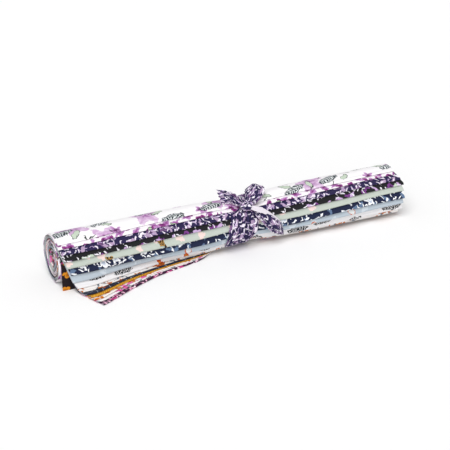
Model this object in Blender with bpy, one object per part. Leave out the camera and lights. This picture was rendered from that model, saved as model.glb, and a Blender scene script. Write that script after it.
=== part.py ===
"""A rolled bundle of fifteen folded fat quarters, tied round the middle with a strip of cloth.

Metres, +Z up. The roll lies along X on the plane Z = 0. The quarters' folded ends step down
the front of the roll (towards -Y) and fan out on the table at the left end (-X).
"""
import math

import bmesh
import bpy
import numpy as np

MM = 0.001

# Driving sizes, in millimetres
LENGTH = 457.0            # a fat quarter's 18 in side, along the roll
RADIUS = 30.9             # the roll's outline away from the tie
CINCH = 2.2               # how much the tie draws the roll in
CINCH_SPREAD = 42.0       # how far along the roll that shows
FULLER = (0.3, 95.0)      # the roll is this much fuller to the right, over this length
TIE_X = 17.5              # the knot's place along the roll
AXIS_Y = 24.5             # the roll's centre line: the fan of ends reaches as far forward
FLAT_Z = 30.3             # the centre line's height: the roll is flattened a little below
STACK = 8.9               # fifteen folded quarters, one on another
TURN_GAP = 0.5            # air between one turn of the stack and the next
SEAT = 1.7                # how deep the loose ends are let into the roll's outline
AIR = 0.3                 # air between two pieces
SHEET = 1.15              # a folded end where it shows
TUCKED = 0.35             # a folded end where it is tucked under the one above
OVERLAP = 4.0             # how far it is tucked under
FULL_STEP = 6.6           # folds closer than this make the ends thinner, as cloth packs
ROW = 4.2                 # the sections' rows of points are about this far apart
TUCK_PAST = 0.3           # it begins to rise this far past the fold above
RISE_BACK = 1.0           # and is up this far before its own full part
RISE_SLACK = 0.1          # its upper side rises a little less
# The full part of a fold: how far back from the fold, its lower and its upper side
FOLD_PROFILE = ((2.4, 0.02, 1.2), (0.5, 0.12, 1.05))
FOLD_TIP = 0.57
FAN_START_X = -15.0       # where the lower ends begin to leave the roll
FAN_FULL_X = -193.0       # where they lie fully spread

# Where each quarter's fold lies: millimetres of cloth down the front from the top of the
# roll, at six places along it. The last column is how far the right end stands in. The
# last five show only in the fan, left of the tie.
STATIONS_X = (-193.0, -150.0, -110.0, -46.0, 74.0, 188.0)
FAN_RIGHT = LENGTH / 2 + 48.0    # the fanned ends slip under the roll before the tie
FOLDS = (
    # -193  -150   -110    -46    74    188   right end
    (16.8, 15.6, 14.4, 12.8, 13.3, 10.6, 6.0),
    (23.4, 22.2, 20.9, 19.4, 19.6, 16.2, 7.5),
    (31.7, 31.0, 30.4, 29.8, 27.7, 24.5, 2.5),
    (39.6, 38.6, 37.6, 36.2, 35.9, 31.6, 0.0),
    (48.9, 48.2, 47.5, 46.6, 43.8, 39.6, 1.5),
    (57.7, 57.4, 57.2, 57.0, 53.0, 49.0, 0.5),
    (66.5, 66.3, 66.0, 65.2, 60.6, 56.4, 2.0),
    (75.0, 74.0, 73.5, 73.0, 71.5, 67.5, 1.5),
    (82.0, 79.0, 78.3, 79.5, 83.0, 80.0, 2.5),
    (88.6, 83.0, 81.0, 81.2, 0.0, 0.0, FAN_RIGHT),
    (95.2, 87.0, 83.7, 82.9, 0.0, 0.0, FAN_RIGHT),
    (101.8, 91.0, 86.3, 84.6, 0.0, 0.0, FAN_RIGHT),
    (108.4, 95.0, 88.9, 86.3, 0.0, 0.0, FAN_RIGHT),
    (115.0, 99.0, 91.5, 88.0, 0.0, 0.0, FAN_RIGHT),
)
FOLD_WAVE = 0.45          # the folds' slight unevenness
WAVE_LENGTH, WAVE_SHIFT = 31.0, 2.1
END_MARGIN = 1.0          # no section nearer than this to an end
FIRST_FANNED = 10         # from this quarter on, the ends show only in the fan
SKIN_START = -36.5        # the first quarter's skin begins this far back from the top

# How far the left edge stands in, by millimetres of cloth down the front
LEFT_EDGE_AT = (0.0, 28.0, 41.0, 62.0, 75.0, 115.0)
LEFT_EDGE_IN = (0.0, 0.6, 4.5, 11.0, 15.5, 35.5)

# The hanging flap's path, at the spread end and where it slips under: the angle above the
# front at which it leaves the roll, and how far it hangs before it bends onto the table
LEAVE_DEG = (12.0, -50.0)
HANG = (20.0, 0.0)
SLIP_X = -48.0
LIE_DEG = 87.5            # nearly flat, following the thinning stack
TIP_HEIGHT = 1.9          # the outline's height over the table at the fan's tip
PATH_STEP = 0.5
PATH_SPARE = 30           # points of the path past the last fold
SLOPE_STEP = 0.6          # the outline's slope is read this far to each side
FIRST_FOLD_DEG = 60.0     # the first fold's angle above the front
BAND_START = math.radians(90.0 - FIRST_FOLD_DEG) * RADIUS   # where the loose ends begin
BAND_END_X = (-193.0, -150.0, -110.0, -46.0, -12.0, 230.0)
BAND_END = (109.0, 96.0, 89.0, 83.0, 79.5, 78.5)
BEND_START = 66.0                           # where they may bend onto the table
# How far the wound core lies inside the outline, by degrees back from the first fold
CORE_AT = (0.0, 220.0, 240.0, 250.0, 360.0)
CORE_DEPTH = (0.0, 0.0, 2.8, 3.4, STACK)
WOUND = 900.0             # degrees from the first fold to the inner end of the stack
OUTER_TURN = 396.0        # up to here the turns have finer steps
TURN_STEPS = (9.0, 18.0)
INNERMOST = 0.4           # the centre's own radius
ROLL_RIGHT_IN = 2.0       # the wound stack's right end stands in
END_SECTION_S = 60.0      # its left end section is set out at this length down the front
BAND_THIN = (0.7, 0.45)   # the stack under the loose ends, past the bend and at its end
BAND_THIN_FROM = 12.0
SINK = 0.45               # the stack gives way a little under the bend
SINK_IN, SINK_OUT = 16.0, 9.0
FRONT_ROWS = 14
BEND_ROWS = 15
SKIN_TURN = 99.0          # degrees from the first fold back to where its skin begins
SKIN_RAMP = 2.0

# The innermost quarter behind the flap: cloth down from the top, and its place between the
# wound core and the flap
GAP_PATH = ((60.0, 0.45), (64.0, 0.50), (68.0, 0.55), (72.0, 0.50))
INNER_LEFT = -226.5
INNER_SECTIONS = 2        # it has this many more sections, from the left
INNER_HALF = 0.5          # half its thickness
FOOT = (-1.5, 0.05)       # its foot: forward of the path's end, and above the table

# Places along the roll, between its two ends, where every piece has a section
SECTIONS_X = (-190.0, -168.0, -145.0, -120.0, -95.0, -70.0, -48.0, -39.0, -30.0, -12.0, 12.0, 36.0,
              60.0, 110.0, 185.0)

# The tie's band: degrees above the front, its middle along the roll, half its width, and
# how deep its gathers are
BAND_AROUND = (
    (-270.0, 22.0, 11.0, 0.6),
    (-240.0, 20.0, 11.0, 0.4),
    (-180.0, 18.0, 12.0, 0.3),
    (-90.0, 17.0, 11.0, 0.3),
    (-65.0, 12.0, 17.0, 0.8),
    (-36.0, 9.0, 23.5, 1.3),
    (8.0, 10.5, 22.5, 1.6),
    (30.0, 14.0, 18.5, 1.8),
    (56.0, 17.5, 10.0, 1.6),
    (72.0, 20.0, 9.5, 1.2),
    (90.0, 22.0, 11.0, 0.6),
)
BAND_CLEAR = 0.8          # the band's inner side, over the roll's outline
BAND_THICK = 1.1
BAND_STEPS = 48
BAND_ACROSS = 11
BAND_TURN_START = -270.0
GATHERS = 4.0             # ridges across the band
GATHER_SWAY = (0.15, 17.0)
GATHER_EDGE = 6           # the ridges fade at the band's edges
KNOT = (17.5, 57.0, 6.1)  # along the roll, degrees above the front, height over the outline
KNOT_SIZE = (10.5, 8.5, 4.5)
KNOT_SWELL = ((0.10, 7.0, 3.0), (0.06, -2.0, 9.0))   # height, waves along and across

# The tie's free ends and the puffed fold beside its knot, each as rows along its middle:
# along the roll, degrees above the front, height over the outline, half width, fold depth
FREE_ENDS = {
    "left": (
        (14.0, 60.0, 3.6, 5.0, 0.5),
        (7.0, 66.0, 4.2, 7.0, 1.6),
        (-1.0, 75.0, 5.2, 9.0, 2.0),
        (-10.5, 86.0, 6.2, 11.5, 1.4),
    ),
    "puff": (
        (20.0, 61.0, 3.8, 5.0, 0.5),
        (26.0, 71.0, 6.0, 8.0, 1.8),
        (33.0, 83.0, 9.0, 10.5, 2.4),
        (40.0, 97.0, 9.6, 10.0, 1.8),
    ),
    "right": (
        (21.0, 56.0, 3.6, 5.0, 0.5),
        (31.0, 44.0, 4.6, 8.5, 1.8),
        (41.0, 25.0, 4.4, 10.5, 2.2),
        (50.0, 0.0, 3.6, 9.5, 1.8),
        (60.0, -25.0, 2.8, 6.0, 1.2),
    ),
}
END_THICK = 1.1
END_ACROSS = 7
TOOTH = 2.4               # the depth of the pinked teeth at a free end

COLOURS = {
    "roll": (0.80, 0.78, 0.79), "tie": (0.17, 0.11, 0.28), "quarter_01": (0.83, 0.80, 0.83),
    "quarter_02": (0.74, 0.60, 0.72), "quarter_03": (0.16, 0.12, 0.30),
    "quarter_04": (0.03, 0.03, 0.035), "quarter_05": (0.56, 0.61, 0.55),
    "quarter_06": (0.05, 0.07, 0.15), "quarter_07": (0.52, 0.60, 0.67),
    "quarter_08": (0.80, 0.79, 0.80), "quarter_09": (0.76, 0.60, 0.50),
    "quarter_10": (0.05, 0.06, 0.12), "quarter_11": (0.72, 0.42, 0.05),
    "quarter_12": (0.80, 0.72, 0.60), "quarter_13": (0.80, 0.72, 0.76),
    "quarter_14": (0.30, 0.04, 0.20), "quarter_15": (0.05, 0.03, 0.04),
}


def cloth_material(name):
    """Matt woven cotton in the piece's mean colour."""
    material = bpy.data.materials.new(name)
    material.use_nodes = True
    shader = material.node_tree.nodes["Principled BSDF"]
    shader.inputs["Base Color"].default_value = (*COLOURS[name], 1.0)
    shader.inputs["Roughness"].default_value = 0.85
    shader.inputs["Metallic"].default_value = 0.0
    return material


def add_object(name, bm, guide=False):
    """Turn a bmesh in millimetres about the roll's centre line into a named object."""
    for vert in bm.verts:
        vert.co.y += AXIS_Y
        vert.co.z += FLAT_Z
        vert.co *= MM
    if bm.calc_volume(signed=True) < 0.0:
        bmesh.ops.reverse_faces(bm, faces=bm.faces)
    mesh = bpy.data.meshes.new(name)
    bm.to_mesh(mesh)
    bm.free()
    mesh.shade_smooth()
    mesh.set_sharp_from_angle(angle=math.radians(40))
    obj = bpy.data.objects.new(name, mesh)
    bpy.context.scene.collection.objects.link(obj)
    if guide:
        obj.hide_render = True
        obj.display_type = "WIRE"
    else:
        mesh.materials.append(cloth_material(name))
    return obj


def radius_at(x):
    """The outline's radius: drawn in by the tie, a little fuller to the right."""
    drawn = CINCH * math.exp(-((x - TIE_X) / CINCH_SPREAD) ** 2)
    return RADIUS + FULLER[0] * math.sin(x / FULLER[1]) - drawn


def on_circle(radius, s):
    """A point of the roll's outline, s millimetres of cloth down the front from its top."""
    angle = math.pi / 2 - s / RADIUS
    return np.array((-radius * math.cos(angle), radius * math.sin(angle)))


def hanging_path(x):
    """The flap's outline at x: its start along the cloth, and points every PATH_STEP."""
    spread = spread_at(x)
    leave = math.radians(LEAVE_DEG[1] + spread * (LEAVE_DEG[0] - LEAVE_DEG[1]))
    lie = math.radians(LIE_DEG)
    hang = HANG[1] + spread * (HANG[0] - HANG[1])
    leave_s = (math.pi / 2 - leave) * RADIUS
    point = on_circle(radius_at(x), leave_s)
    beyond = fold_at(len(FOLDS), x) - leave_s - hang
    drop = point[1] + FLAT_Z - TIP_HEIGHT
    sweep = drop - hang * math.cos(leave) - beyond * math.cos(lie)
    sweep /= math.sin(lie) - math.sin(leave) - (lie - leave) * math.cos(lie)
    points = []
    for i in range(int((beyond + hang) / PATH_STEP) + PATH_SPARE):
        points.append(point.copy())
        lean = min(lie, leave + max(0.0, i * PATH_STEP - hang) / sweep)
        point += PATH_STEP * np.array((-math.sin(lean), -math.cos(lean)))
    return leave_s, np.array(points)


PATHS = {}


def spread_at(x):
    """1 where the ends lie spread on the table, 0 where they slip under the roll."""
    return min(1.0, max(0.0, (SLIP_X - x) / (SLIP_X - FAN_FULL_X)))


def outline(x, s):
    """The outline of the bundle's front at x, s millimetres of cloth down from the top."""
    round_point = on_circle(radius_at(x), s)
    share = min(1.0, max(0.0, (FAN_START_X - x) / (FAN_START_X - SLIP_X)))
    if share == 0.0:
        return round_point
    if x not in PATHS:
        PATHS[x] = hanging_path(x)
    leave_s, path = PATHS[x]
    if s <= leave_s:
        return round_point
    place = (s - leave_s) / PATH_STEP
    index = min(int(place), len(path) - 2)
    loose_point = path[index] + (place - index) * (path[index + 1] - path[index])
    return round_point + share * (loose_point - round_point)


def offset(x, s, height):
    """The point at a height over the seat of the loose ends, kept above the table."""
    along = outline(x, s + SLOPE_STEP) - outline(x, s - SLOPE_STEP)
    along /= np.linalg.norm(along)
    outward = np.array((along[1], -along[0]))
    point = outline(x, s) + (height - SEAT) * outward
    point[1] = max(point[1], -FLAT_Z)
    return point


def left_x(s):
    return -LENGTH / 2 + np.interp(s, LEFT_EDGE_AT, LEFT_EDGE_IN)


def section_places(s, right):
    """The places along the roll of the sections' points, s of cloth down the front."""
    return [left_x(s), *(x for x in SECTIONS_X if x < right - END_MARGIN), right]


def fold_at(n, x):
    """Cloth from the top of the roll to the fold of quarter n, at x."""
    wave = FOLD_WAVE * math.sin(x / WAVE_LENGTH + WAVE_SHIFT * n) if n < FIRST_FANNED else 0.0
    return float(np.interp(x, STATIONS_X, FOLDS[n - 1][:-1])) + wave


def loft(stations, tip=False):
    """A closed body through sections, each an outer row and an inner row of points.

    With tip, each section's outer row ends in one point that both rows share.
    """
    bm = bmesh.new()
    rings = []
    for outer, inner in stations:
        ring = [bm.verts.new(p) for p in outer] + [bm.verts.new(p) for p in reversed(inner)]
        rings.append(ring)
    count = len(rings[0])
    for ring, following in zip(rings, rings[1:]):
        for i in range(count):
            j = (i + 1) % count
            bm.faces.new((ring[i], ring[j], following[j], following[i]))
    rows = len(stations[0][1])
    for ring, forward in ((rings[0], False), (rings[-1], True)):
        caps = [(i, i + 1, count - 2 - i, count - 1 - i) for i in range(rows - 1)]
        if tip:
            caps.append((rows - 1, rows, rows + 1))
        for cap in caps:
            bm.faces.new([ring[i] for i in (cap if forward else reversed(cap))])
    bmesh.ops.triangulate(bm, faces=bm.faces)
    return bm


def make_quarter(n):
    """One quarter's folded end: tucked under the one above, full and rounded at its fold."""
    right = LENGTH / 2 - FOLDS[n - 1][-1]
    length_down = FOLDS[0][0] - SKIN_START if n == 1 else FOLDS[n - 1][0] - FOLDS[n - 2][0]
    spans = max(1, round((length_down - OVERLAP) / ROW))
    stations = []
    for place, middle_x in enumerate(section_places(FOLDS[n - 1][0], right)):
        def point(s, height):
            x = section_places(s, right)[place]
            return (x, *offset(x, s, height))

        fold = fold_at(n, middle_x)
        above = SKIN_START + OVERLAP if n == 1 else fold_at(n - 1, middle_x)
        crowd = min(1.0, (fold - above) / FULL_STEP)
        tucked, sheet = TUCKED * crowd, SHEET * crowd
        rest = AIR + tucked + AIR
        rise = fold - (OVERLAP + RISE_BACK) * crowd
        low = [(above - OVERLAP * crowd, AIR), (above + TUCK_PAST * crowd, AIR)]
        under = tucked if n > 1 else sheet
        high = [(s, AIR + under) for s, height in low]
        for i in range(1, spans + 1):
            s = low[1][0] + (rise - low[1][0]) * i / spans
            lift = i / spans if n > 1 else max(0.0, i - spans + 1.0)
            low.append((s, AIR + (rest - AIR) * lift))
            high.append((s, AIR + sheet + (rest - AIR - RISE_SLACK) * lift))
        low += [(fold - at * crowd, rest + lower * crowd) for at, lower, upper in FOLD_PROFILE]
        high += [(fold - at * crowd, rest + upper * crowd) for at, lower, upper in FOLD_PROFILE]
        outer = [point(s, h) for s, h in high] + [point(fold, rest + FOLD_TIP * crowd)]
        inner = [point(s, h) for s, h in low]
        stations.append((outer, inner))
    return add_object(f"quarter_{n:02d}", loft(stations, tip=True))


def core_depth(theta):
    """How far the wound core lies inside the outline, theta degrees over from the back."""
    return np.interp(theta, CORE_AT, CORE_DEPTH)


def wound_point(x, turned, inside):
    """A point of the wound stack: turned degrees inwards from the first fold, going back."""
    turns, theta = divmod(turned, 360.0)
    depth = core_depth(theta) + STACK * turns + inside
    angle = math.radians(FIRST_FOLD_DEG + turned)
    radius = max(radius_at(x) - depth, INNERMOST)
    y, z = -radius * math.cos(angle), radius * math.sin(angle)
    return y, max(z, -FLAT_Z)


def band_end(x):
    """Where the wound stack thins out under the loose ends, in cloth from the top."""
    return float(np.interp(x, BAND_END_X, BAND_END))


def band_depth(x, s):
    """How thick the wound stack still is under the loose ends."""
    full = STACK - SEAT - TURN_GAP
    return np.interp(s, (BAND_START, BEND_START + BAND_THIN_FROM, band_end(x)),
                     (full, *BAND_THIN))


def sink_at(x, s):
    """How far the stack gives way under the loose ends: most in the bend, none at its tip."""
    end = band_end(x)
    return np.interp(s, (BEND_START - SINK_IN, BEND_START, end - SINK_OUT, end),
                     (0.0, SINK, SINK, 0.0))


def make_roll():
    """The wound stack as one band, from its centre out to the thin end under the fan."""
    stations = []
    right = LENGTH / 2 - ROLL_RIGHT_IN
    for place, middle_x in enumerate(section_places(END_SECTION_S, right)):
        outer, inner = [], []

        def add(s, out_point, in_point):
            x = section_places(s, right)[place]
            outer.append((x, *out_point(x)))
            inner.append((x, *in_point(x)))

        turned = WOUND
        while turned >= 0.0:
            skin = np.interp(turned, (0.0, SKIN_TURN, SKIN_TURN + SKIN_RAMP), (SEAT, SEAT, 0.0))
            add(0.0, lambda x: wound_point(x, turned, skin),
                lambda x: wound_point(x, turned, STACK - TURN_GAP))
            turned -= TURN_STEPS[0] if turned <= OUTER_TURN else TURN_STEPS[1]
        front = np.linspace(BAND_START, BEND_START, FRONT_ROWS)
        for s in (*front[1:], *np.linspace(BEND_START, band_end(middle_x), BEND_ROWS)[1:]):
            sink = sink_at(middle_x, s)
            add(s, lambda x: offset(x, s, -sink), lambda x: offset(x, s, -sink - band_depth(x, s)))
        stations.append((outer, inner))
    return add_object("roll", loft(stations))


def make_inner_quarter():
    """The innermost quarter, seen in the gap behind the hanging flap at the left end."""
    stations = []
    for x in (INNER_LEFT, *SECTIONS_X[:INNER_SECTIONS]):
        centres = []
        for s, share in GAP_PATH:
            theta = 450.0 - FIRST_FOLD_DEG - math.degrees(s / RADIUS)
            core = np.array(wound_point(x, theta, 0.0))
            flap = offset(x, s, -SINK - band_depth(x, s))
            centres.append(core + share * (flap - core))
        foot = centres[-1].copy()
        foot[1] = -FLAT_Z + FOOT[1]
        foot[0] += FOOT[0]
        centres.append(foot)
        outer, inner = [], []
        for i, centre in enumerate(centres):
            along = centres[min(i + 1, len(centres) - 1)] - centres[max(i - 1, 0)]
            along /= np.linalg.norm(along)
            side = INNER_HALF * np.array((along[1], -along[0]))
            outer.append((x, *(centre + side)))
            inner.append((x, *(centre - side)))
        stations.append((outer, inner))
    return add_object("quarter_15", loft(stations))


def round_roll(x, degrees, height):
    """A point at a height over the roll's outline, by degrees above the front."""
    angle = math.radians(degrees)
    radius = radius_at(x) + height
    return np.array((x, -radius * math.cos(angle), radius * math.sin(angle)))


def make_band():
    """The gathered band, a closed ring round the roll that opens out down the front."""
    degrees, middles, halves, depths = zip(*BAND_AROUND)
    bm = bmesh.new()
    rings = []
    for step in range(BAND_STEPS):
        turn = BAND_TURN_START + 360.0 * step / BAND_STEPS
        middle, half, depth = (np.interp(turn, degrees, row) for row in (middles, halves, depths))
        outer, inner = [], []
        for i in range(BAND_ACROSS):
            across = 2.0 * i / (BAND_ACROSS - 1) - 1.0
            sway = GATHER_SWAY[0] * math.sin(turn / GATHER_SWAY[1])
            ridge = 0.5 - 0.5 * math.cos(math.pi * GATHERS * (across + sway))
            height = BAND_THICK + depth * ridge * (1.0 - across ** GATHER_EDGE)
            for row, over in ((outer, height), (inner, 0.0)):
                x, y, z = round_roll(middle + half * across, turn, BAND_CLEAR + over)
                row.append(bm.verts.new((x, y, max(z, -FLAT_Z))))
        rings.append(outer + inner[::-1])
    for ring, following in zip(rings, rings[1:] + rings[:1]):
        for i in range(len(ring)):
            j = (i + 1) % len(ring)
            bm.faces.new((ring[i], ring[j], following[j], following[i]))
    bmesh.ops.triangulate(bm, faces=bm.faces)
    return add_object("tie", bm)


def make_knot():
    """The flat knot: a rounded lump with the folds of the cloth wound over it."""
    bm = bmesh.new()
    bmesh.ops.create_icosphere(bm, subdivisions=3, radius=1.0)
    place = round_roll(*KNOT)
    outward = round_roll(KNOT[0], KNOT[1], KNOT[2] + 1.0) - place
    along = np.array((1.0, 0.0, 0.0))
    up = np.cross(outward, along)
    for vert in bm.verts:
        a, b, c = vert.co
        swell = 1.0 + sum(high * math.sin(m * a + n * b) for high, m, n in KNOT_SWELL)
        vert.co = place + swell * (KNOT_SIZE[0] * a * along + KNOT_SIZE[1] * b * up
                                   + KNOT_SIZE[2] * c * outward)
    return add_object("knot_guide", bm, guide=True)


def make_free_end(name):
    """One free end: a folded sheet that widens from the knot to a pinked edge."""
    rows = FREE_ENDS[name]
    stations = []
    fine = []
    for first, second in zip(rows, rows[1:]):
        fine += [np.array(first), (np.array(first) + np.array(second)) / 2]
    fine.append(np.array(rows[-1]))
    middles = [round_roll(x, turn, height) for x, turn, height, half, depth in fine]
    for i, (x, turn, height, half, depth) in enumerate(fine):
        along = middles[min(i + 1, len(fine) - 1)] - middles[max(i - 1, 0)]
        along /= np.linalg.norm(along)
        outward = round_roll(x, turn, 1.0) - round_roll(x, turn, 0.0)
        side = np.cross(along, outward)
        side /= np.linalg.norm(side)
        lift = np.cross(side, along)
        outer, inner = [], []
        for j in range(END_ACROSS):
            across = 2.0 * j / (END_ACROSS - 1) - 1.0
            fold = depth * math.cos(2.0 * math.pi * across)
            tooth = TOOTH * (j % 2) if i == len(fine) - 1 else 0.0
            point = middles[i] + half * across * side + tooth * along
            outer.append(point + (fold + END_THICK / 2) * lift)
            inner.append(point + (fold - END_THICK / 2) * lift)
        stations.append((outer, inner))
    return add_object(f"{name}_guide", loft(stations), guide=True)


def make_tie():
    """The strip in one piece: band, knot and free ends joined."""
    tie = make_band()
    for guide in (make_knot(), *(make_free_end(name) for name in FREE_ENDS)):
        union = tie.modifiers.new(guide.name, "BOOLEAN")
        union.operation = "UNION"
        union.solver = "EXACT"
        union.object = guide
    return tie


def clear_scene():
    for obj in list(bpy.data.objects):
        bpy.data.objects.remove(obj, do_unlink=True)


def main():
    clear_scene()
    make_roll()
    for n in range(1, len(FOLDS) + 1):
        make_quarter(n)
    make_inner_quarter()
    make_tie()


main()
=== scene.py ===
# %% [markdown]
# This is a bundle of fat quarters: fifteen pieces of printed quilting cotton, each cut 18 by 22
# inches and folded once, laid one on another, rolled up along their length and tied round the
# middle with a pinked strip of one of the prints. We load the measured model of the bundle first,
# because every piece of cloth below has to lie where its solid lies.

# %% Load the measured model
import math

import bmesh
import bpy
import numpy as np
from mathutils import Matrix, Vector


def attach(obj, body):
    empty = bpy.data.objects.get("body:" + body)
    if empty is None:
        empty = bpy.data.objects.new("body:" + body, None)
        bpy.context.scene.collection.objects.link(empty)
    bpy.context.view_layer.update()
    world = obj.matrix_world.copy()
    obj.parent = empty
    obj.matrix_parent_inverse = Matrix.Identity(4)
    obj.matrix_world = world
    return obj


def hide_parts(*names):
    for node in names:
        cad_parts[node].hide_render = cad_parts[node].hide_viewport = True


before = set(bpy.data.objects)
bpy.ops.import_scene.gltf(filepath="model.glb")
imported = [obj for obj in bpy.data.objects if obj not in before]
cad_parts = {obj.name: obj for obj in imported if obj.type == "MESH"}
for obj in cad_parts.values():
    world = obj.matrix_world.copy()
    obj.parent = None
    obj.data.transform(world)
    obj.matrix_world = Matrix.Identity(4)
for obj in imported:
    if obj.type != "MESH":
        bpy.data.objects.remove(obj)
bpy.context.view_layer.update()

MM = 0.001

# %% [markdown]
# The camera stands where the photographer stood: a little to the left, well above the table and
# several metres away, so the roll's two ends look nearly the same size. A long lens from far off
# gives that flat look, where a short lens close by would swell the near end.

# %% Camera
AXIS_Y, FLAT_Z = 24.5, 30.3              # the roll's centre line, in millimetres
CAMERA_AZIMUTH, CAMERA_ELEVATION = math.radians(-23.92), math.radians(28.42)
CAMERA_DISTANCE = 3190.0
AIM_RIGHT, AIM_UP = -3.26, -3.73         # the picture's centre, seen from the roll's middle
SENSOR, LENS = 36.0, 208.1


def put(name, data):
    """A new object in the scene."""
    made = bpy.data.objects.new(name, data)
    bpy.context.scene.collection.objects.link(made)
    return made


back = Vector((math.sin(CAMERA_AZIMUTH) * math.cos(CAMERA_ELEVATION),
               -math.cos(CAMERA_AZIMUTH) * math.cos(CAMERA_ELEVATION), math.sin(CAMERA_ELEVATION)))
right = Vector((math.cos(CAMERA_AZIMUTH), math.sin(CAMERA_AZIMUTH), 0.0))
aim = Vector((0.0, AXIS_Y, FLAT_Z)) + AIM_RIGHT * right + AIM_UP * back.cross(right)
camera_data = bpy.data.cameras.new("camera")
camera_data.sensor_width = SENSOR
camera_data.lens = LENS
camera = put("camera", camera_data)
camera.location = (aim + CAMERA_DISTANCE * back) * MM
camera.rotation_mode = "QUATERNION"
camera.rotation_quaternion = back.to_track_quat("Z", "Y")
bpy.context.scene.camera = camera
print("camera at", tuple(round(c, 3) for c in camera.location))

# %% [markdown]
# The bundle's outline is a round roll, drawn in a little by the tie. Down its front hangs the
# loose end of the stack, which leaves the roll at the left and bends out onto the table. One
# function gives the outline at any place along the roll, for any length of cloth down the front.
# Cloth is easier to place by its own length than by height and depth, because it doesn't stretch.

# %% The outline of the bundle
LENGTH = 457.0            # the 18 inch side of a fat quarter
RADIUS = 30.9
FULLER, FULLER_OVER = 0.3, 95.0          # the right part is a little thicker than the left
CINCH, CINCH_SPREAD, TIE_X = 3.5, 38.0, 17.5
FAN_START_X, SLIP_X, FAN_FULL_X = -15.0, -48.0, -193.0
LEAVE_DEG = (12.0, -50.0)                # where the flap leaves the roll: at the left, in the middle
HANG = (20.0, 0.0)                       # how far it then hangs straight, at the same two places
LIE_DEG = 87.5                           # how steeply its end lies, away from hanging
TIP_HEIGHT = 1.9                         # the flap's end above the table
PATH_STEP, SPARE_STEPS = 0.5, 60
INSIDE = 1.001                           # a reading stops this short of a table's length
LEFT_EDGE_AT = (0.0, 28.0, 41.0, 62.0, 75.0, 115.0)
LEFT_EDGE_IN = (0.0, 0.6, 4.5, 11.0, 15.5, 32.5)
MAP_STEP, MAP_FROM, MAP_TO = 4.9, -70.0, 130.0
QUARTERS = 15

# Where each quarter's fold lies: millimetres of cloth down the front from the top of the roll,
# at six places along it. The last column is how far its right end stands in.
STATIONS_X = (-193.0, -150.0, -110.0, -46.0, 74.0, 188.0)
FOLDS = (
    (16.8, 15.6, 14.4, 12.8, 13.3, 10.6, 6.0),
    (23.4, 22.2, 20.9, 19.4, 19.6, 16.2, 7.5),
    (31.7, 31.0, 30.4, 29.8, 27.7, 24.5, 2.5),
    (39.6, 38.6, 37.6, 36.2, 35.9, 31.6, 0.0),
    (48.9, 48.2, 47.5, 46.6, 43.8, 39.6, 1.5),
    (57.7, 57.4, 57.2, 57.0, 53.0, 49.0, 0.5),
    (66.5, 66.3, 66.0, 65.2, 60.6, 56.4, 2.0),
    (75.0, 74.0, 73.5, 73.0, 71.5, 67.5, 1.5),
    (82.0, 79.0, 78.3, 79.5, 83.0, 80.0, 2.5),
    (88.6, 83.0, 81.0, 81.2, 84.1, 81.2, 3.0),
    (95.2, 87.0, 83.7, 82.9, 85.1, 82.3, 2.0),
    (101.8, 91.0, 86.3, 84.6, 86.0, 83.3, 3.5),
    (107.6, 94.6, 88.2, 86.3, 86.9, 84.2, 1.5),
    (115.0, 102.0, 92.8, 88.0, 87.7, 85.0, 2.5),
    (83.0, 84.0, 80.0, 78.0, 79.0, 77.0, 3.0),
)
FOLD_WAVE, FOLD_WAVE_OVER, FOLD_WAVE_SHIFT = 0.45, 31.0, 2.1   # no fold is quite straight
FIRST_FANNED = 10


def held(share):
    """A share, held between none and all."""
    return np.clip(share, 0.0, 1.0)


def radius_at(x):
    """The outline's radius: drawn in by the tie, a little fuller to the right."""
    waist = CINCH * np.exp(-((x - TIE_X) / CINCH_SPREAD) ** 2)
    return RADIUS + FULLER * np.sin(x / FULLER_OVER) - waist


def fold_at(n, x):
    """Cloth from the top of the roll to the fold of quarter n, at places x."""
    wave = FOLD_WAVE * np.sin(x / FOLD_WAVE_OVER + FOLD_WAVE_SHIFT * n)
    if n >= FIRST_FANNED:
        wave = 0.0
    return np.interp(x, STATIONS_X, FOLDS[n - 1][:-1]) + wave


def left_edge(s):
    """The left edge of the loose ends, which stands in further down the front."""
    return -LENGTH / 2 + np.interp(s, LEFT_EDGE_AT, LEFT_EDGE_IN)


def on_circle(radius, s):
    """A point round the roll's centre line, s millimetres of cloth down the front."""
    angle = math.pi / 2 - s / RADIUS
    return np.array((-radius * math.cos(angle), radius * math.sin(angle)))


def hanging_path(x):
    """The flap's outline at x: where it leaves the roll, and points every PATH_STEP."""
    spread = float(held((SLIP_X - x) / (SLIP_X - FAN_FULL_X)))
    leave = math.radians(LEAVE_DEG[1] + spread * (LEAVE_DEG[0] - LEAVE_DEG[1]))
    lie = math.radians(LIE_DEG)
    hang = HANG[1] + spread * (HANG[0] - HANG[1])
    leave_s = (math.pi / 2 - leave) * RADIUS
    point = on_circle(radius_at(x), leave_s)
    beyond = float(fold_at(QUARTERS - 1, x)) - leave_s - hang
    # This radius of the bend brings the flap's end down to TIP_HEIGHT above the table.
    sweep = point[1] + FLAT_Z - TIP_HEIGHT - hang * math.cos(leave) - beyond * math.cos(lie)
    sweep /= math.sin(lie) - math.sin(leave) - (lie - leave) * math.cos(lie)
    points = []
    for i in range(int((beyond + hang) / PATH_STEP) + SPARE_STEPS):
        points.append(point.copy())
        lean = min(lie, leave + max(0.0, i * PATH_STEP - hang) / sweep)
        point += PATH_STEP * np.array((-math.sin(lean), -math.cos(lean)))
    return leave_s, np.array(points)


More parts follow.
